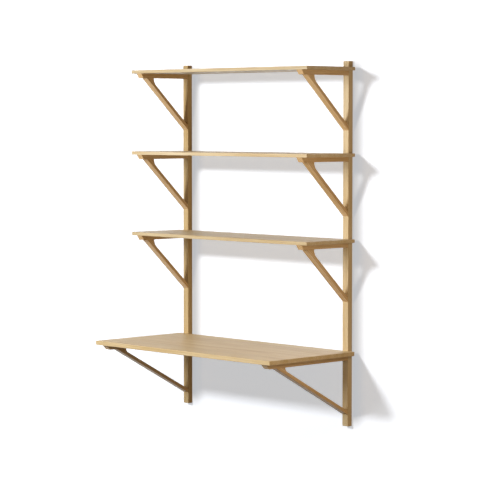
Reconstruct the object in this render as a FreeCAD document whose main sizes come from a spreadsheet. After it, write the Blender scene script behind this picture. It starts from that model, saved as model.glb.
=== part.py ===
import FreeCAD, Part
import os
import re

import Sketcher
from FreeCAD import Vector

# Wall-hung shelves with a desk, in solid oak.  Two uprights are screwed flat to the wall.  Each
# carries four brackets, an arm with a strut under it, tenoned into the upright and into each other.
# Three shelves and a deeper desk board lie on the arms.  Their rear edges are let into the uprights,
# and one screw through each arm's nose holds them down.  X runs along the wall, -Y out from it and
# +Z up.  The origin is on the wall, at the centre of the four outer wall screws.

# Driving dimensions in millimetres
SIZES = {
    # uprights: the tail is what hangs below the desk's struts
    "upright_width": 35.0,
    "upright_depth": 27.0,
    "upright_spacing": 1097.0,
    "upright_tail": 55.0,
    "upright_arris": 1.0,
    # boards: how high they sit, and how far their ends stand out past the uprights
    "top_reveal": 28.0,
    "shelf_pitch": 396.0,
    "desk_drop": 520.0,
    "board_overhang": 34.0,
    "shelf_depth": 317.0,
    "shelf_thickness": 16.0,
    "desk_depth": 551.0,
    "desk_thickness": 20.0,
    "board_arris": 1.2,
    # housings, the shallow notches that take the boards' rear edges
    "housing_depth": 7.0,
    "housing_clearance": 0.1,
    # arms: the nose starts behind the board's front edge and slants back below
    "arm_height": 22.0,
    "arm_arris": 1.0,
    "shelf_nose_setback": 2.0,
    "shelf_nose_slant": 14.0,
    "desk_nose_setback": 12.0,
    "desk_nose_slant": 22.0,
    # struts: drop and reach place the lower edge, and the seat is the head's length under the arm
    "strut_thickness": 16.0,
    "strut_arris": 0.8,
    "shelf_foot_drop": 275.0,
    "shelf_strut_reach": 271.0,
    "shelf_head_seat": 46.0,
    "desk_foot_drop": 276.0,
    "desk_strut_reach": 467.0,
    "desk_head_seat": 58.0,
    # stub tenons, all of one thickness: the arm's and the foot's go into the upright, the head's
    # goes up into the arm
    "tenon_thickness": 12.0,
    "arm_tenon_height": 14.0,
    "arm_tenon_length": 16.0,
    "foot_tenon_margin": 4.0,
    "foot_tenon_height": 10.0,
    "foot_tenon_length": 12.0,
    "head_tenon_margin": 8.0,
    "head_tenon_height": 11.0,
    "tenon_clearance": 0.1,
    "tenon_end_gap": 0.5,
    # board screws, countersunk in the arms' noses
    "screw_radius": 2.0,
    "screw_length": 32.0,
    "screw_point": 5.0,
    "head_radius": 4.0,
    "screw_clearance": 0.25,
    "thread_clearance": 0.05,
    "pilot_gap": 1.0,
    # wall screw holes, countersunk from the housings' floors, where the boards cover the heads
    "wall_hole_radius": 2.75,
    "wall_sink_radius": 5.5,
}
COUNTERSINK_ANGLE = 90.0
NEAR = 1e-4

doc = FreeCAD.newDocument("wall_shelves_with_desk")
dims = doc.addObject("Spreadsheet::Sheet", "dims")
for row, (alias, value) in enumerate(SIZES.items(), 1):
    dims.set("A%d" % row, alias)
    dims.set("B%d" % row, str(value))
    dims.setAlias("B%d" % row, alias)
doc.recompute()


def formula(text):
    """Turn the names of sizes in a formula into references to the sheet."""
    return re.sub(r"\b[a-z]+(?:_[a-z]+)+\b", r"dims.\g<0>", text)


def new_body(label, x="0", y="0", z="0"):
    """An empty piece whose own origin is placed by three formulas."""
    body = doc.addObject("PartDesign::Body", label)
    body.Label = label
    for axis, text in zip("xyz", (x, y, z)):
        body.setExpression("Placement.Base." + axis, formula(text))
    return body


def new_sketch(body, name, role, lift=None):
    """An empty sketch on one of the piece's origin planes, or lifted off it by a formula."""
    sketch = body.newObject("Sketcher::SketchObject", name)
    plane = [feature for feature in body.Origin.OriginFeatures if feature.Role == role]
    sketch.AttachmentSupport = [(plane[0], "")]
    sketch.MapMode = "FlatFace"
    if lift:
        sketch.setExpression("AttachmentOffset.Base.z", formula(lift))
    return sketch


def dimension(sketch, kind, refs, text, first=0.0):
    """Add one dimension, driven by a formula.  It starts from a plain size's own value."""
    index = sketch.addConstraint(Sketcher.Constraint(kind, *refs, SIZES.get(text, first)))
    sketch.setExpression("Constraints[%d]" % index, formula(text))


def relate(sketch, kind, *refs):
    """Add one geometric relation."""
    sketch.addConstraint(Sketcher.Constraint(kind, *refs))


def add_rectangle(sketch, left, right, low, high):
    """A rectangle whose four sides stand at signed distances from the sketch's origin."""
    corners = [Vector(-1, -1), Vector(1, -1), Vector(1, 1), Vector(-1, 1)]
    lines = [
        sketch.addGeometry(Part.LineSegment(start, end), False)
        for start, end in zip(corners, corners[1:] + corners[:1])
    ]
    for line, following in zip(lines, lines[1:] + lines[:1]):
        relate(sketch, "Coincident", line, 2, following, 1)
    for level, upright in (lines[:2], lines[2:]):
        relate(sketch, "Horizontal", level)
        relate(sketch, "Vertical", upright)
    for kind, line, text in (
        ("DistanceX", lines[0], left), ("DistanceX", lines[2], right),
        ("DistanceY", lines[0], low), ("DistanceY", lines[2], high),
    ):
        dimension(sketch, kind, (-1, 1, line, 1), text)


def add_circle(sketch, x, y, radius):
    """A circle placed by two signed distances from the sketch's origin."""
    first = SIZES["screw_radius"]
    index = sketch.addGeometry(Part.Circle(Vector(), Vector(0, 0, 1), first), False)
    dimension(sketch, "DistanceX", (-1, 1, index, 3), x)
    dimension(sketch, "DistanceY", (-1, 1, index, 3), y)
    dimension(sketch, "Radius", (index,), radius, first)


def pad(body, sketch, length, symmetric=False, reverse=False):
    """Extrude a sketch into the piece's wood."""
    feature = body.newObject("PartDesign::Pad", "pad")
    feature.Profile = sketch
    feature.SideType = "Symmetric" if symmetric else "One side"
    feature.Reversed = reverse
    feature.setExpression("Length", formula(length))
    doc.recompute()
    return feature


def pocket(body, sketch, depth, reverse=False):
    """Cut a sketch to a depth, and make sure that the cut took wood away."""
    before = body.Shape.Volume
    feature = body.newObject("PartDesign::Pocket", "pocket")
    feature.Profile = sketch
    feature.Reversed = reverse
    feature.setExpression("Length", formula(depth))
    doc.recompute()
    if not body.Shape.Volume < before:
        raise RuntimeError("%s: %s cuts nothing" % (body.Label, sketch.Label))
    return feature


def ease_edges(body, base, size, chosen):
    """Bevel the edges of the piece so far whose boxes the test picks."""
    names = ["Edge%d" % n for n, edge in enumerate(base.Shape.Edges, 1) if chosen(edge.BoundBox)]
    feature = body.newObject("PartDesign::Chamfer", "arris")
    feature.Base = (base, names)
    feature.setExpression("Size", formula(size))
    doc.recompute()
    return feature


def countersink(body, sketch, radius, rim, reverse=False):
    """Bore a sketch's circles right through, with a flat screw head's seat at the near end."""
    doc.recompute()
    feature = body.newObject("PartDesign::Hole", "countersink")
    feature.Profile = sketch
    feature.Reversed = reverse
    feature.DepthType = "ThroughAll"
    feature.HoleCutType = "Countersink"
    feature.HoleCutCustomValues = True
    feature.HoleCutCountersinkAngle = COUNTERSINK_ANGLE
    feature.setExpression("Diameter", formula("2 * (%s)" % radius))
    feature.setExpression("HoleCutDiameter", formula("2 * (%s)" % rim))
    doc.recompute()
    return feature


# Each level: the family of its sizes, and how far its board's top lies below the uprights' tops
LEVELS = {
    "top": ("shelf", "top_reveal"),
    "middle": ("shelf", "top_reveal + shelf_pitch"),
    "lower": ("shelf", "top_reveal + 2 * shelf_pitch"),
    "desk": ("desk", "top_reveal + 2 * shelf_pitch + desk_drop"),
}
SIDES = {"left": "-upright_spacing / 2", "right": "upright_spacing / 2"}

FRONT_FACE = "-upright_depth"
TOP_HOLE_DROP = "(top_reveal + shelf_thickness / 2)"
DESK_HOLE_DROP = "(%s + desk_thickness / 2)" % LEVELS["desk"][1]
UPRIGHT_TOP = "(%s + %s) / 2" % (TOP_HOLE_DROP, DESK_HOLE_DROP)


def underside_drop(level):
    """From the uprights' tops down to a board's underside, where its arms' tops lie."""
    family, drop = LEVELS[level]
    return "(%s + %s_thickness)" % (drop, family)


def board_reach(family):
    """From the uprights' faces out to a board's front edge."""
    return "(%s_depth - housing_depth)" % family


def arm_top_reach(family):
    """From the upright to the top of an arm's nose."""
    return "(%s - %s_nose_setback)" % (board_reach(family), family)


def arm_bottom_reach(family):
    """From the upright to the bottom of an arm's nose."""
    return "(%s - %s_nose_slant)" % (arm_top_reach(family), family)


def screw_out(family):
    """From the upright to the screw in the nose, midway between the strut and the nose's end."""
    return "((%s_strut_reach + %s) / 2)" % (family, arm_bottom_reach(family))


def across(width, room="0"):
    """Left and right sides of something centred on its bracket, with room to spare on each."""
    return "-(%s / 2 + %s)" % (width, room), "%s / 2 + %s" % (width, room)


def arm_tenon(room="0"):
    """Left, right, low and high sides of an arm's tenon, or of its mortise with room to spare."""
    return across("tenon_thickness", room) + (
        "-(arm_height + arm_tenon_height) / 2 - %s" % room,
        "-(arm_height - arm_tenon_height) / 2 + %s" % room)


def foot_tenon(family, room="0"):
    """The same for the tenon of a strut's foot, a margin above its toe."""
    toe = "-%s_foot_drop + foot_tenon_margin" % family
    return across("tenon_thickness", room) + (
        "%s - %s" % (toe, room), "%s + foot_tenon_height + %s" % (toe, room))


def head_tenon(family, room="0"):
    """The same for the tenon of a strut's head, seen from above, a margin inside its seat."""
    front = "-%s_strut_reach" % family
    return across("tenon_thickness", room) + (
        "%s + head_tenon_margin - %s" % (front, room),
        "%s + %s_head_seat - head_tenon_margin + %s" % (front, family, room))


def lowered(sides, drop):
    """The sides of a mortise, moved down an upright."""
    left, right, low, high = sides
    return left, right, "%s - %s" % (low, drop), "%s - %s" % (high, drop)


def make_upright(side):
    """A bar notched for the boards, mortised for the brackets and bored for the wall screws."""
    body = new_body(side + "_upright", SIDES[side], FRONT_FACE, UPRIGHT_TOP)
    section = new_sketch(body, "section", "XY_Plane")
    add_rectangle(section, *across("upright_width"), "0", "upright_depth")
    height = "%s + desk_foot_drop + upright_tail" % underside_drop("desk")
    bar = pad(body, section, height, reverse=True)
    back = SIZES["upright_depth"] - NEAR
    ease_edges(body, bar, "upright_arris", lambda box: box.YMin < back)

    housings = new_sketch(body, "housings", "XZ_Plane")
    arm_mortises = new_sketch(body, "arm_mortises", "XZ_Plane")
    foot_mortises = new_sketch(body, "foot_mortises", "XZ_Plane")
    wall_holes = new_sketch(body, "wall_holes", "XZ_Plane", "-housing_depth")
    for level, (family, drop) in LEVELS.items():
        underside = underside_drop(level)
        add_rectangle(housings, *across("upright_width"), "-" + underside,
                      "-(%s) + housing_clearance" % drop)
        add_rectangle(arm_mortises, *lowered(arm_tenon("tenon_clearance"), underside))
        add_rectangle(foot_mortises, *lowered(foot_tenon(family, "tenon_clearance"), underside))
        add_circle(wall_holes, "0", "-(%s + %s_thickness / 2)" % (drop, family), "wall_hole_radius")
    pocket(body, housings, "housing_depth")
    pocket(body, arm_mortises, "arm_tenon_length + tenon_end_gap")
    pocket(body, foot_mortises, "foot_tenon_length + tenon_end_gap")
    countersink(body, wall_holes, "wall_hole_radius", "wall_sink_radius")
    return body


def make_board(level, label):
    """A plain board with bevelled long and end edges, and a blind pilot hole over each nose."""
    family, drop = LEVELS[level]
    height = "%s - %s" % (UPRIGHT_TOP, underside_drop(level))
    body = new_body(label, "0", FRONT_FACE, height)
    outline = new_sketch(body, "outline", "XY_Plane")
    length = "(upright_spacing + upright_width + 2 * board_overhang)"
    add_rectangle(outline, *across(length), "-" + board_reach(family), "housing_depth")
    slab = pad(body, outline, family + "_thickness")
    ease_edges(body, slab, "board_arris", lambda box: box.ZLength < NEAR)

    pilots = new_sketch(body, "pilot_holes", "XY_Plane")
    for x in SIDES.values():
        add_circle(pilots, x, "-" + screw_out(family), "screw_radius + thread_clearance")
    pocket(body, pilots, "screw_length - arm_height + pilot_gap", reverse=True)
    return body


def make_arm(level, side):
    """A bar under a board's end, with a slanted nose, a tenon, a mortise and a screw's hole."""
    family = LEVELS[level][0]
    height = "%s - %s" % (UPRIGHT_TOP, underside_drop(level))
    body = new_body("%s_%s_arm" % (level, side), SIDES[side], FRONT_FACE, height)
    profile = new_sketch(body, "profile", "YZ_Plane")
    reach, fall = SIZES[family + "_depth"], SIZES["arm_height"]
    corners = [Vector(0, 0), Vector(-reach, 0), Vector(-reach, -fall), Vector(0, -fall)]
    for start, end in zip(corners, corners[1:] + corners[:1]):
        profile.addGeometry(Part.LineSegment(start, end), False)
    for line in range(4):
        relate(profile, "Coincident", line, 2, (line + 1) % 4, 1)
    relate(profile, "Coincident", 0, 1, -1, 1)
    relate(profile, "Horizontal", 0)
    relate(profile, "Horizontal", 2)
    relate(profile, "Vertical", 3)
    dimension(profile, "DistanceX", (0, 2, -1, 1), arm_top_reach(family))
    dimension(profile, "DistanceX", (2, 1, -1, 1), arm_bottom_reach(family))
    dimension(profile, "DistanceY", (2, 2, -1, 1), "arm_height")
    bar = pad(body, profile, "upright_width", symmetric=True)

    bottom = NEAR - SIZES["arm_height"]

    def below_or_nose(box):
        return box.YMax < -NEAR and box.ZMin < bottom or box.ZMax < bottom and box.XLength < NEAR

    ease_edges(body, bar, "arm_arris", below_or_nose)

    tenon = new_sketch(body, "tenon", "XZ_Plane")
    add_rectangle(tenon, *arm_tenon())
    pad(body, tenon, "arm_tenon_length", reverse=True)
    mortise = new_sketch(body, "head_mortise", "XY_Plane", "-arm_height")
    add_rectangle(mortise, *head_tenon(family, "tenon_clearance"))
    pocket(body, mortise, "head_tenon_height + tenon_end_gap", reverse=True)
    screw_hole = new_sketch(body, "screw_hole", "XY_Plane", "-arm_height")
    add_circle(screw_hole, "0", "-" + screw_out(family), "screw_radius + screw_clearance")
    countersink(body, screw_hole, "screw_radius + screw_clearance", "head_radius + thread_clearance",
                reverse=True)
    return body


def make_strut(level, side):
    """A slanted bar that swells into a square head under the arm, with a tenon at each end."""
    family = LEVELS[level][0]
    height = "%s - %s" % (UPRIGHT_TOP, underside_drop(level))
    body = new_body("%s_%s_strut" % (level, side), SIDES[side], FRONT_FACE, height)
    profile = new_sketch(body, "profile", "YZ_Plane")
    draw_strut(profile, family)
    bar = pad(body, profile, "upright_width", symmetric=True)

    def long_side_edge(box):
        return box.XLength < NEAR and box.YLength > NEAR and box.ZLength > NEAR

    ease_edges(body, bar, "strut_arris", long_side_edge)

    foot = new_sketch(body, "foot_tenon", "XZ_Plane")
    add_rectangle(foot, *foot_tenon(family))
    pad(body, foot, "foot_tenon_length", reverse=True)
    head = new_sketch(body, "head_tenon", "XY_Plane", "-arm_height")
    add_rectangle(head, *head_tenon(family))
    pad(body, head, "head_tenon_height")
    return body


def draw_strut(sketch, family):
    """Draw a strut's side view, from its toe on the upright to its head under the arm.

    The upper edge is parallel to the lower.  The head's curve leaves the arm square to it and is
    tangent to the upper edge.
    """
    drop, reach = SIZES[family + "_foot_drop"], SIZES[family + "_strut_reach"]
    seat, seat_fall = SIZES[family + "_head_seat"], SIZES["arm_height"]
    along = Vector(-reach, drop - seat_fall).normalize()
    toe = Vector(0, -drop)
    crotch = toe + Vector(0, SIZES["strut_thickness"] / -along.x)
    head_front = Vector(-reach, -seat_fall)
    head_back = Vector(seat - reach, -seat_fall)

    # The curve's two tangents are equally long: one falls from the arm, one runs down the upper edge
    below_head = crotch + along * (head_back.x / along.x)
    tangent = head_back.y - below_head.y
    curve_end = below_head - along * tangent
    curve_radius = tangent * -along.x / (1 - along.y)
    curve_centre = head_back + Vector(curve_radius, 0)
    chord_middle = (curve_end + head_back) / 2
    bulge = curve_centre + (chord_middle - curve_centre).normalize() * curve_radius

    for line in (
        Part.LineSegment(toe, crotch),
        Part.LineSegment(crotch, curve_end),
        Part.Arc(curve_end, bulge, head_back),
        Part.LineSegment(head_back, head_front),
        Part.LineSegment(head_front, toe),
    ):
        sketch.addGeometry(line, False)
    starts_low = sketch.getPoint(2, 1).distanceToPoint(curve_end) < NEAR
    low_end, high_end = (1, 2) if starts_low else (2, 1)
    relate(sketch, "Coincident", 0, 2, 1, 1)
    relate(sketch, "Tangent", 1, 2, 2, low_end)
    relate(sketch, "Perpendicular", 2, high_end, 3, 1)
    relate(sketch, "Coincident", 3, 2, 4, 1)
    relate(sketch, "Coincident", 4, 2, 0, 1)
    relate(sketch, "PointOnObject", 0, 1, -2)
    relate(sketch, "Vertical", 0)
    relate(sketch, "Horizontal", 3)
    relate(sketch, "Parallel", 1, 4)
    dimension(sketch, "Distance", (1, 1, 4), "strut_thickness")
    dimension(sketch, "DistanceY", (0, 1, -1, 1), family + "_foot_drop")
    dimension(sketch, "DistanceY", (3, 2, -1, 1), "arm_height")
    dimension(sketch, "DistanceX", (3, 2, -1, 1), family + "_strut_reach")
    dimension(sketch, "DistanceX", (3, 2, 3, 1), family + "_head_seat")


def make_screw(label):
    """One countersunk wood screw that points up, with the arm's underside at its own zero height."""
    body = new_body(label)
    profile = new_sketch(body, "half_profile", "XZ_Plane")
    outline = [
        ("0", "0"),
        ("head_radius", "0"),
        ("screw_radius", "head_radius - screw_radius"),
        ("screw_radius", "screw_length - screw_point"),
        ("0", "screw_length"),
    ]
    count = len(outline)
    unit = [Vector(x != "0", n) for n, (x, _) in enumerate(outline)]
    for start, end in zip(unit, unit[1:] + unit[:1]):
        profile.addGeometry(Part.LineSegment(start, end), False)
    for line, (x, z) in enumerate(outline):
        relate(profile, "Coincident", line, 2, (line + 1) % count, 1)
        dimension(profile, "DistanceX", (-1, 1, line, 1), x)
        dimension(profile, "DistanceY", (-1, 1, line, 1), z)
    turned = body.newObject("PartDesign::Revolution", "turned")
    turned.Profile = profile
    turned.ReferenceAxis = (profile, ["V_Axis"])
    doc.recompute()
    return body


def make_group(label, master, places):
    """A node of separate like pieces: one master placed at each of a list of formulas."""
    copies = []
    for number, place in enumerate(places, 1):
        copy = doc.addObject("App::Link", "%s_%d" % (label, number))
        copy.LinkedObject = master
        for axis, text in zip("xyz", place):
            copy.setExpression("Placement.Base." + axis, formula(text))
        copies.append(copy)
    group = doc.addObject("Part::Compound", label)
    group.Label = label
    group.Links = copies
    return group


nodes = [make_upright(side) for side in SIDES]
for level, label in zip(LEVELS, ("top_shelf", "middle_shelf", "lower_shelf", "desk_board")):
    nodes.append(make_board(level, label))
    for side in SIDES:
        nodes.append(make_arm(level, side))
        nodes.append(make_strut(level, side))
screw_places = [
    (x,
     "%s - %s" % (FRONT_FACE, screw_out(family)),
     "%s - %s - arm_height" % (UPRIGHT_TOP, underside_drop(level)))
    for level, (family, _) in LEVELS.items() for x in SIDES.values()
]
nodes.append(make_group("board_screws", make_screw("board_screw"), screw_places))
doc.recompute()

for thing in doc.Objects:
    if "Invalid" in thing.State or "Error" in thing.State:
        raise RuntimeError("%s did not build: %s" % (thing.Label, thing.State))
for node in nodes:
    if node.Shape.isNull() or not node.Shape.isValid():
        raise RuntimeError("%s has no valid shape" % node.Label)

os.makedirs("parts", exist_ok=True)
for node in nodes:
    node.Shape.exportStep("parts/%s.step" % node.Label)
    print("%-22s %2d solids %12.1f mm3" % (node.Label, len(node.Shape.Solids), node.Shape.Volume))
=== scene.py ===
import math

import bmesh
import bpy
import numpy as np
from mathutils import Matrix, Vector


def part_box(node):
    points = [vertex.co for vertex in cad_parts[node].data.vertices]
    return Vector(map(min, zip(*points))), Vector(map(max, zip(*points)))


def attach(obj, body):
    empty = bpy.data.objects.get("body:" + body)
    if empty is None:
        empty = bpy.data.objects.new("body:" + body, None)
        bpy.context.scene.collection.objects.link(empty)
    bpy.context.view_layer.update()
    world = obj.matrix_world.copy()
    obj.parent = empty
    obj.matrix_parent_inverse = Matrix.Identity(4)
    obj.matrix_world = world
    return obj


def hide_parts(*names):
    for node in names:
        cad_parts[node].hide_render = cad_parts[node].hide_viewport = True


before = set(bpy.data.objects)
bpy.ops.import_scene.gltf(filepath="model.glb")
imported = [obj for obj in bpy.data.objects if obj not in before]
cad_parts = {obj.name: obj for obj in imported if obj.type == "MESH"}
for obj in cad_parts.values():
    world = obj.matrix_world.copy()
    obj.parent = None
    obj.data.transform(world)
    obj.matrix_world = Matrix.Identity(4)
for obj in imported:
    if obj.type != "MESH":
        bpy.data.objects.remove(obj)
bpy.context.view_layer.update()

# The two uprights: planed oak bars, 35 by 27 mm, screwed flat to the wall.  They are notched for the
# boards, mortised for the brackets and finished with a clear satin varnish.  The grain runs up them.


def linear(hex_colour):
    """An sRGB hex colour as linear RGBA."""
    srgb = np.array([int(hex_colour[i:i + 2], 16) for i in (0, 2, 4)]) / 255
    rgb = np.where(srgb <= 0.04045, srgb / 12.92, ((srgb + 0.055) / 1.055) ** 2.4)
    return (*rgb.tolist(), 1.0)


def add_node(tree, kind, sockets=None, **settings):
    """Add one node, set its properties, then set or link its input sockets, by name or number.

    A MapRange has its value at 0, the range it comes from at 1 and 2 and the range it goes to at 3
    and 4.  A Mix has its share at 0, two numbers at 2 and 3 and two colours at 6 and 7.
    """
    node = tree.nodes.new("ShaderNode" + kind)
    for name, value in settings.items():
        setattr(node, name, value)
    for socket, value in (sockets or {}).items():
        if isinstance(value, bpy.types.NodeSocket):
            tree.links.new(value, node.inputs[socket])
        else:
            node.inputs[socket].default_value = value
    return node


def ramp_colours(node, stops):
    """Give a colour ramp its stops, each a place and an sRGB hex colour."""
    elements = node.color_ramp.elements
    while len(elements) < len(stops):
        elements.new(1.0)
    for element, (place, colour) in zip(elements, stops):
        element.position = place
        element.color = linear(colour)


def oak(name, centre, turn, figure, tone_and_painted_shade, stave=None):
    """Clear-varnished European oak, planed and sanded, with its grain along the turned X axis.

    The eye sees pale straw wood with slow rings, long fibres, short dark pores that catch in the
    finish, end grain a shade darker, and a soft satin sheen.  The rings are drawn 7 mm apart and the
    pores 9 mm long, coarser than real ones, so that they show at the photo's size.  The figure is
    the place in the log that the piece is cut from, and a glued board has the width of its staves.
    """
    material = bpy.data.materials.new(name)
    material.use_nodes = True
    tree = material.node_tree
    tree.nodes.clear()
    place = add_node(tree, "TexCoord").outputs["Object"]
    centred = add_node(tree, "VectorMath", {0: place, 1: centre}, operation="SUBTRACT").outputs[0]
    turned = add_node(tree, "Mapping", {"Vector": centred, "Rotation": turn}).outputs[0]
    grain = add_node(tree, "VectorMath", {0: turned, 1: figure}).outputs[0]
    chance, late_wood = 0.5, 1.0
    if stave:
        # Glued staves: each has its own place in the log and its own tone, and milder late wood
        log_reach = (2.0, 0.15, 0.15)
        across = add_node(tree, "SeparateXYZ", {0: turned}).outputs["Y"]
        number = add_node(tree, "Math", {0: across, 1: stave}, operation="DIVIDE").outputs[0]
        number = add_node(tree, "Math", {0: number}, operation="FLOOR").outputs[0]
        number = add_node(tree, "Math", {0: number, 1: figure[0]}).outputs[0]
        draw = add_node(tree, "TexWhiteNoise", {"W": number}, noise_dimensions="1D")
        shift = add_node(tree, "VectorMath", {0: draw.outputs["Color"], 1: log_reach},
                         operation="MULTIPLY").outputs[0]
        grain = add_node(tree, "VectorMath", {0: grain, 1: shift}).outputs[0]
        chance, late_wood = draw.outputs["Value"], 0.68

    # Along the grain all is drawn out, the fibres fifty times and the rest ten times
    ring_gap, fibre_gap, band_width, pore_width = 0.007, 0.004, 0.04, 0.0009
    slow = add_node(tree, "VectorMath", {0: grain, 1: (0.10, 1.0, 1.0)},
                    operation="MULTIPLY").outputs[0]
    drawn = add_node(tree, "VectorMath", {0: grain, 1: (0.02, 1.0, 1.0)},
                     operation="MULTIPLY").outputs[0]
    # Growth rings round a pith that lies beside the piece.  At scale 1 they are pi / 10 m apart
    rings = add_node(tree, "TexWave", {
        "Vector": slow, "Scale": math.pi / 10 / ring_gap, "Distortion": 9.0, "Detail": 2.0,
        "Detail Scale": 0.18, "Detail Roughness": 0.5,
    }, wave_type="RINGS", rings_direction="X", wave_profile="SAW").outputs["Fac"]
    # Long fibres, one every 4 mm
    fibres = add_node(tree, "TexNoise", {
        "Vector": drawn, "Scale": 1 / fibre_gap, "Detail": 4.0, "Roughness": 0.6}).outputs["Fac"]
    # Broad bands of paler and darker wood, 40 mm wide
    bands = add_node(tree, "TexNoise", {
        "Vector": slow, "Scale": 1 / band_width, "Detail": 2.0, "Roughness": 0.5}).outputs["Fac"]
    # Pores: cells 9 mm long and 0.9 mm wide, dark only near their middles
    pores = add_node(tree, "TexVoronoi", {
        "Vector": slow, "Scale": 1 / pore_width, "Randomness": 1.0}).outputs["Distance"]
    pores = add_node(tree, "MapRange", {
        0: pores, 1: 0.10, 2: 0.32, 3: 1.0, 4: 0.0}, interpolation_type="SMOOTHSTEP").outputs[0]

    # Colour: pale early wood and browner late wood, shaded by the fibres and bands, with brown pores
    rings = add_node(tree, "Math", {0: rings, 1: late_wood}, operation="MULTIPLY").outputs[0]
    early_late = add_node(tree, "ValToRGB", {0: rings})
    ramp_colours(early_late, [
        (0.0, "E7DCC1"), (0.55, "E2D5B9"), (0.86, "CEBB9A"), (1.0, "DECFB2")])
    colour = early_late.outputs[0]
    fibre_shade = add_node(tree, "ValToRGB", {0: fibres})
    ramp_colours(fibre_shade, [(0.30, "E0D6C4"), (0.62, "FFFFFF")])
    colour = add_node(tree, "Mix", {0: 0.8, 6: colour, 7: fibre_shade.outputs[0]},
                      data_type="RGBA", blend_type="MULTIPLY").outputs[2]
    band_shade = add_node(tree, "ValToRGB", {0: bands})
    ramp_colours(band_shade, [(0.34, "F1E8D6"), (0.66, "FFFFFF")])
    colour = add_node(tree, "Mix", {0: 0.8, 6: colour, 7: band_shade.outputs[0]},
                      data_type="RGBA", blend_type="MULTIPLY").outputs[2]
    pore_share = add_node(tree, "Math", {0: pores, 1: 0.30}, operation="MULTIPLY").outputs[0]
    colour = add_node(tree, "Mix", {0: pore_share, 6: colour, 7: linear("9A7A50")},
                      data_type="RGBA").outputs[2]

    # End grain: where the surface faces along the grain it drinks more varnish and is a shade darker
    facing = add_node(tree, "Mapping", {
        "Vector": add_node(tree, "NewGeometry").outputs["Normal"], "Rotation": turn},
        vector_type="NORMAL").outputs[0]
    facing = add_node(tree, "SeparateXYZ", {0: facing}).outputs["X"]
    facing = add_node(tree, "Math", {0: facing}, operation="ABSOLUTE").outputs[0]
    end_grain = add_node(tree, "MapRange", {0: facing, 1: 0.75, 2: 0.95, 3: 0.0, 4: 0.05},
                         interpolation_type="SMOOTHSTEP").outputs[0]
    colour = add_node(tree, "Mix", {0: end_grain, 6: colour, 7: linear("F3E4CB")},
                      data_type="RGBA", blend_type="MULTIPLY").outputs[2]
    # Each piece and each stave has its own tone, and the left upright's darker tone is painted shade
    colour = add_node(tree, "Mix", {0: 1.0, 6: colour, 7: linear(tone_and_painted_shade)},
                      data_type="RGBA", blend_type="MULTIPLY").outputs[2]
    value = add_node(tree, "MapRange", {0: chance, 3: 0.97, 4: 1.03}).outputs[0]
    colour = add_node(tree, "HueSaturation", {"Value": value, "Color": colour}).outputs[0]

    # Varnish: satin, glossier on the fibres' crests, 0.2 mm of relief with the pores sunk in it
    rough = add_node(tree, "MapRange", {0: fibres, 1: 0.3, 2: 0.7, 3: 0.50, 4: 0.42}).outputs[0]
    height = add_node(tree, "Math", {0: fibres, 1: 0.25}, operation="MULTIPLY").outputs[0]
    height = add_node(tree, "Math", {0: height, 1: pores}, operation="SUBTRACT").outputs[0]
    bump = add_node(tree, "Bump", {"Height": height, "Strength": 0.25, "Distance": 0.0002}).outputs[0]
    shader = add_node(tree, "BsdfPrincipled", {
        "Base Color": colour, "Roughness": rough, "Normal": bump, "IOR": 1.5,
        "Specular IOR Level": 0.25})
    add_node(tree, "OutputMaterial", {"Surface": shader.outputs[0]})
    return material


def dress(node, material):
    """Put one material in every slot of a CAD node."""
    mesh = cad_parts[node].data
    mesh.materials.clear()
    mesh.materials.append(material)


def middle(node):
    """The middle of a CAD node's box."""
    low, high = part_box(node)
    return tuple((np.array(low) + np.array(high)) / 2)


UP_THE_WALL = (0.0, math.pi / 2, 0.0)
# The left upright is toned darker than the right: painted shade, for the deeper shade it lies in
UPRIGHT_TONES_AND_PAINTED_SHADE = {"left": "E8DDC2", "right": "F8F5EA"}
for number, (side, tone) in enumerate(UPRIGHT_TONES_AND_PAINTED_SHADE.items()):
    node = side + "_upright"
    figure = (1.7 + 2.3 * number, 0.031 + 0.02 * number, 0.045)
    dress(node, oak("oak_" + node, middle(node), UP_THE_WALL, figure, tone))

# The three shelves and the desk board: solid oak, 16 and 20 mm thick, edge-glued from staves that run
# along the wall.  Their rear edges sit in the uprights' notches and their ends show end grain.
STAVE = 0.068
ALONG_THE_WALL = (0.0, 0.0, 0.0)
BOARD_TONES = {"top_shelf": "EBE8E0", "middle_shelf": "F8F4EC",
               "lower_shelf": "EEE9DC", "desk_board": "F5EDDA"}
for number, (node, tone) in enumerate(BOARD_TONES.items()):
    figure = (7.9 + 3.1 * number, 0.02, 0.06 + 0.013 * number)
    dress(node, oak("oak_" + node, middle(node), ALONG_THE_WALL, figure, tone, STAVE))

# The eight brackets: oak arms under the boards' ends and oak struts that prop them, joined by hidden
# tenons.  Each is cut with its grain along its own length, the strut's on the slant.
OUT_FROM_THE_WALL = (0.0, 0.0, -math.pi / 2)
BRACKET_TONE = "FFECD2"
BRACKETS = [(level, side) for level in ("top", "middle", "lower", "desk") for side in UPRIGHT_TONES_AND_PAINTED_SHADE]
for number, bracket in enumerate(BRACKETS):
    arm = "%s_%s_arm" % bracket
    figure = (11.0 + 1.9 * number, 0.025, 0.03 + 0.004 * number)
    dress(arm, oak("oak_" + arm, middle(arm), OUT_FROM_THE_WALL, figure, BRACKET_TONE))
    strut = "%s_%s_strut" % bracket
    low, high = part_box(strut)
    slant = (math.atan2(high[2] - low[2], high[1] - low[1]), 0.0, math.pi / 2)
    figure = (31.0 + 2.3 * number, 0.022, 0.028 + 0.005 * number)
    dress(strut, oak("oak_" + strut, middle(strut), slant, figure, BRACKET_TONE))

# The board screws: zinc-plated steel, 4 mm, countersunk flush under the arms' noses, with a cross
# recess.  They hold the boards down from below.  Each arm's nose slants back by its own amount.
MERGE_WITHIN = 1e-6
NOSE_SLANT = {"top": 0.014, "middle": 0.014, "lower": 0.014, "desk": 0.022}


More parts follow.
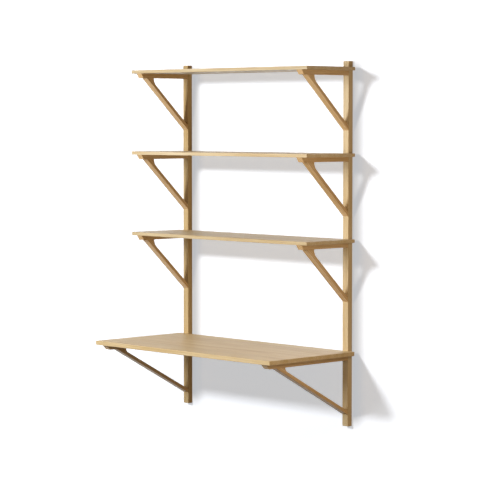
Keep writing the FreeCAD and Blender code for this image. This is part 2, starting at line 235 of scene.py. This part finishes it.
def screw_surface(head_rings=24, rows=110, columns=48):
    """A cross-head wood screw that points up, as a grid of rows from head to point.

    The outline is a flat head, a 45 degree cone, a plain neck, a threaded shank and a point.  The
    radius of the shank swells and shrinks with the fraction of height over pitch less turn.  The
    head sinks where it is nearer than a blade's half width to the X or Y axis.
    """
    head, shank, neck, length, point = 0.004, 0.002, 0.004, 0.032, 0.005
    pitch, thread = 0.0018, 0.0005
    blade, recess, reach, blade_slope, reach_slope = 0.00055, 0.0014, 0.0024, 0.0002, 0.0008
    cone = head - shank
    thread_start = cone + neck
    turn = np.linspace(0, 2 * math.pi, columns, endpoint=False)
    radius = np.concatenate([np.linspace(0, head, head_rings), np.full(rows + 1, shank), [0]])
    height = np.concatenate([np.zeros(head_rings), [cone],
                             np.linspace(thread_start, length, rows), [length]])[:, None]
    radius = radius[:, None] * np.clip((length - height) / point, 0, 1) * np.ones(columns)
    wave = np.abs(((height / pitch - turn / (2 * math.pi)) % 1) * 2 - 1)
    cut = np.maximum(radius - thread * wave * (radius > thread), 0)
    radius = np.where(height > thread_start, cut, radius)
    x, y = radius * np.cos(turn), radius * np.sin(turn)
    in_blade = np.clip((blade - np.minimum(abs(x), abs(y))) / blade_slope, 0, 1)
    in_reach = np.clip((reach - radius) / reach_slope, 0, 1)
    z = height + np.where(height == 0, recess * in_blade * in_reach, 0)
    return np.stack([x, y, z], -1)


def closed_grid(points):
    """Quads between neighbouring rows and columns of a grid that closes on itself round the turn."""
    rows, columns = points.shape[:2]
    index = np.arange(rows * columns).reshape(rows, columns)
    following = np.roll(index, -1, axis=1)
    quads = np.stack([index[:-1], following[:-1], following[1:], index[1:]], -1)
    return quads.reshape(-1, 4)


one_screw = screw_surface()
quads = closed_grid(one_screw)
places = []
for level, side in BRACKETS:
    arm_low, arm_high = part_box("%s_%s_arm" % (level, side))
    strut_low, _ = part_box("%s_%s_strut" % (level, side))
    # Midway between the strut and the end of the arm's underside
    out = (strut_low[1] + arm_low[1] + NOSE_SLANT[level]) / 2
    places.append(((arm_low[0] + arm_high[0]) / 2, out, arm_low[2]))
points = np.concatenate([one_screw.reshape(-1, 3) + place for place in places])
faces = np.concatenate([quads + number * one_screw[..., 0].size for number in range(len(places))])
mesh = bpy.data.meshes.new("cross_head_screws")
mesh.from_pydata(points.tolist(), [], faces.tolist())
# Merge the points that lie on each other, so that the middle of the head and the tip are closed
shell = bmesh.new()
shell.from_mesh(mesh)
bmesh.ops.remove_doubles(shell, verts=shell.verts, dist=MERGE_WITHIN)
shell.to_mesh(mesh)
shell.free()

# Zinc-plated steel: a pale grey metal with a soft shine.  Its plating is a fine mottle, drawn 1.5 mm
# across so that it shows on a head
mottle_size = 0.0015
zinc = bpy.data.materials.new("zinc_plated_steel")
zinc.use_nodes = True
tree = zinc.node_tree
tree.nodes.clear()
place = add_node(tree, "TexCoord").outputs["Object"]
mottle = add_node(tree, "TexNoise", {
    "Vector": place, "Scale": 1 / mottle_size, "Detail": 3.0}).outputs["Fac"]
plating = add_node(tree, "ValToRGB", {0: mottle})
ramp_colours(plating, [(0.3, "A9A9A4"), (0.7, "C9C9C6")])
rough = add_node(tree, "MapRange", {0: mottle, 3: 0.28, 4: 0.45}).outputs[0]
shader = add_node(tree, "BsdfPrincipled", {
    "Base Color": plating.outputs[0], "Metallic": 1.0, "Roughness": rough})
add_node(tree, "OutputMaterial", {"Surface": shader.outputs[0]})
mesh.materials.append(zinc)

screws = bpy.data.objects.new("cross_head_screws", mesh)
bpy.context.scene.collection.objects.link(screws)
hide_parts("board_screws")
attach(screws, "root")

# The room: a matt white wall that the uprights are fixed to, and a floor 740 mm below the desk's top.
# Both are open from behind, so that the part can be seen from every side.
WALL_BEHIND, ROOM_REACH, DESK_HEIGHT = 0.001, 8.0, 0.740
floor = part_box("desk_board")[1][2] - DESK_HEIGHT
corners = [(-ROOM_REACH, WALL_BEHIND, floor), (ROOM_REACH, WALL_BEHIND, floor),
           (ROOM_REACH, WALL_BEHIND, ROOM_REACH), (-ROOM_REACH, WALL_BEHIND, ROOM_REACH),
           (-ROOM_REACH, -ROOM_REACH, floor), (ROOM_REACH, -ROOM_REACH, floor)]
room_mesh = bpy.data.meshes.new("wall_and_floor")
room_mesh.from_pydata(corners, [], [(0, 1, 2, 3), (4, 5, 1, 0)])
room = bpy.data.objects.new("wall_and_floor", room_mesh)
bpy.context.scene.collection.objects.link(room)
room.visible_diffuse = False
room.visible_shadow = False

# Matt white emulsion paint, rolled, with a painted shadow beside each upright.  For the camera its
# shadows are lifted near the shelves, and it is plain white beyond them
SHADOW_LIFT, LIFT_FROM, LIFT_TO = 0.54, 1.12, 1.60
PAINTED_SHADOW_ASIDE, PAINTED_SHADOW_REACH, PAINTED_SHADOW_SHORTER = 0.012, 0.09, 0.055
paint = bpy.data.materials.new("matt_white_emulsion_with_painted_shadow")
paint.use_nodes = True
tree = paint.node_tree
tree.nodes.clear()
place = add_node(tree, "TexCoord").outputs["Object"]
# On the right of each upright the paint is drawn darker, a painted shadow where less of the room's
# light comes in.  The tone follows the distance from a line beside the upright, and repeats at the
# uprights' spacing
left_low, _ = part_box("left_upright")
right_low, right_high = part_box("right_upright")
spacing = right_low[0] - left_low[0]
line_side = right_high[0] + PAINTED_SHADOW_ASIDE
line_middle = (right_high[2] + right_low[2]) / 2
half_line = (right_high[2] - right_low[2]) / 2 - PAINTED_SHADOW_SHORTER
over, _, up = add_node(tree, "SeparateXYZ", {0: place}).outputs
over = add_node(tree, "Math", {0: over, 1: spacing, 2: 0.0}, operation="WRAP").outputs[0]
over = add_node(tree, "Math", {0: over, 1: line_side}, operation="SUBTRACT").outputs[0]
up = add_node(tree, "Math", {0: up, 1: line_middle}, operation="SUBTRACT").outputs[0]
up = add_node(tree, "Math", {0: up}, operation="ABSOLUTE").outputs[0]
up = add_node(tree, "Math", {0: up, 1: half_line}, operation="SUBTRACT").outputs[0]
up = add_node(tree, "Math", {0: up, 1: 0.0}, operation="MAXIMUM").outputs[0]
aside = add_node(tree, "CombineXYZ", {0: over, 1: up}).outputs[0]
aside = add_node(tree, "VectorMath", {0: aside}, operation="LENGTH").outputs["Value"]
outside_painted_shadow = add_node(tree, "MapRange", {0: aside, 1: 0.0, 2: PAINTED_SHADOW_REACH},
                     interpolation_type="SMOOTHSTEP").outputs[0]
# Painted shadow: dark brown-grey paint near the line, white paint beyond its reach
tone = add_node(tree, "Mix", {0: outside_painted_shadow, 6: linear("6F6658"), 7: linear("E7E8EA")},
                data_type="RGBA").outputs[2]
matt = add_node(tree, "BsdfDiffuse", {"Color": tone}).outputs[0]
away = add_node(tree, "VectorMath", {0: place}, operation="LENGTH").outputs["Value"]
lift = add_node(tree, "MapRange", {
    0: away, 1: LIFT_FROM, 2: LIFT_TO, 3: SHADOW_LIFT, 4: 1.0}).outputs[0]
path = add_node(tree, "LightPath")
seen = add_node(tree, "Math", {0: path.outputs["Is Camera Ray"], 1: path.outputs["Is Glossy Ray"]},
                use_clamp=True).outputs[0]
strength = add_node(tree, "Math", {0: seen, 1: lift}, operation="MULTIPLY").outputs[0]
glow = add_node(tree, "Emission", {"Color": linear("F4F9FF"), "Strength": strength}).outputs[0]
front = add_node(tree, "AddShader", {0: matt, 1: glow}).outputs[0]
behind = add_node(tree, "NewGeometry").outputs["Backfacing"]
clear = add_node(tree, "BsdfTransparent").outputs[0]
shown = add_node(tree, "MixShader", {0: behind, 1: front, 2: clear}).outputs[0]
add_node(tree, "OutputMaterial", {"Surface": shown})
room_mesh.materials.append(paint)

# Light: a key lamp on the front left, a soft box low on the right and a lamp behind light the wood
# alone.  The wall lamp lights the wall alone and throws the long soft shadows of the photo.
LIGHTS = {
    "key_lamp": {"place": (-1.0, -3.7, 0.85), "size": (0.6, 1.9), "power": 140, "hue": "FFFFFF",
                 "wall": "EXCLUDE"},
    "soft_box": {"place": (2.1, -1.3, -0.1), "size": (1.2, 1.2), "power": 14, "hue": "FFEDD6",
                 "wall": "EXCLUDE"},
    "back_lamp": {"place": (-1.6, 3.2, -0.2), "size": (2.0, 2.0), "power": 50, "hue": "FFFFFF",
                  "wall": "EXCLUDE"},
    "wall_lamp": {"place": (-1.02, -4.5, 1.25), "size": (0.65, 0.42), "power": 189, "hue": "F5F9FF",
                  "wall": "INCLUDE"},
}
for name, made in LIGHTS.items():
    light = bpy.data.lights.new(name, "AREA")
    light.shape = "ELLIPSE"
    light.size, light.size_y = made["size"]
    light.energy = made["power"]
    light.color = linear(made["hue"])[:3]
    light_object = bpy.data.objects.new(name, light)
    light_object.location = made["place"]
    light_object.rotation_euler = (-Vector(made["place"])).to_track_quat("-Z", "Y").to_euler()
    bpy.context.scene.collection.objects.link(light_object)
    receivers = bpy.data.collections.new(name + "_receivers")
    receivers.objects.link(room)
    receivers.collection_objects[0].light_linking.link_state = made["wall"]
    light_object.light_linking.receiver_collection = receivers

# The world: a dim warm room, brightest above, that fills the shade.  The camera and reflections see
# it as plain white.
BRIGHT_SIDE = tuple(Vector((0.4, 0.2, 0.9)).normalized())
DARK_BELOW, BRIGHTEST = -0.8, 0.34
world = bpy.data.worlds.new("room")
bpy.context.scene.world = world
world.use_nodes = True
tree = world.node_tree
tree.nodes.clear()
direction = add_node(tree, "TexCoord").outputs["Generated"]
towards = add_node(tree, "VectorMath", {0: direction, 1: BRIGHT_SIDE},
                   operation="DOT_PRODUCT").outputs["Value"]
dim = add_node(tree, "MapRange", {0: towards, 1: DARK_BELOW, 2: 1.0, 3: 0.0, 4: BRIGHTEST}).outputs[0]
path = add_node(tree, "LightPath")
seen = add_node(tree, "Math", {0: path.outputs["Is Camera Ray"], 1: path.outputs["Is Glossy Ray"]},
                use_clamp=True).outputs[0]
strength = add_node(tree, "Mix", {0: seen, 2: dim, 3: 1.0}).outputs[0]
hue = add_node(tree, "Mix", {0: seen, 6: linear("FFD096"), 7: linear("FFFFFF")},
               data_type="RGBA").outputs[2]
background = add_node(tree, "Background", {"Color": hue, "Strength": strength})
add_node(tree, "OutputWorld", {"Surface": background.outputs[0]})

# The camera: fitted to the photo's own edges, low and a long way off to the right, with a long lens
CAMERA_FROM_TOP = Vector((7.05875, -6.94198, -0.27675))
CAMERA_TURN, CAMERA_DIP = math.radians(46.216), math.radians(3.305)
camera = bpy.data.cameras.new("camera")
camera.lens = 154.19
camera.sensor_width = 36.0
camera_object = bpy.data.objects.new("camera", camera)
uprights_top = Vector((0, 0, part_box("left_upright")[1][2]))
camera_object.location = uprights_top + CAMERA_FROM_TOP
look = Vector((-math.sin(CAMERA_TURN) * math.cos(CAMERA_DIP),
               math.cos(CAMERA_TURN) * math.cos(CAMERA_DIP), -math.sin(CAMERA_DIP)))
camera_object.rotation_euler = look.to_track_quat("-Z", "Y").to_euler()
bpy.context.scene.collection.objects.link(camera_object)
bpy.context.scene.camera = camera_object
bpy.context.scene.view_settings.view_transform = "Standard"
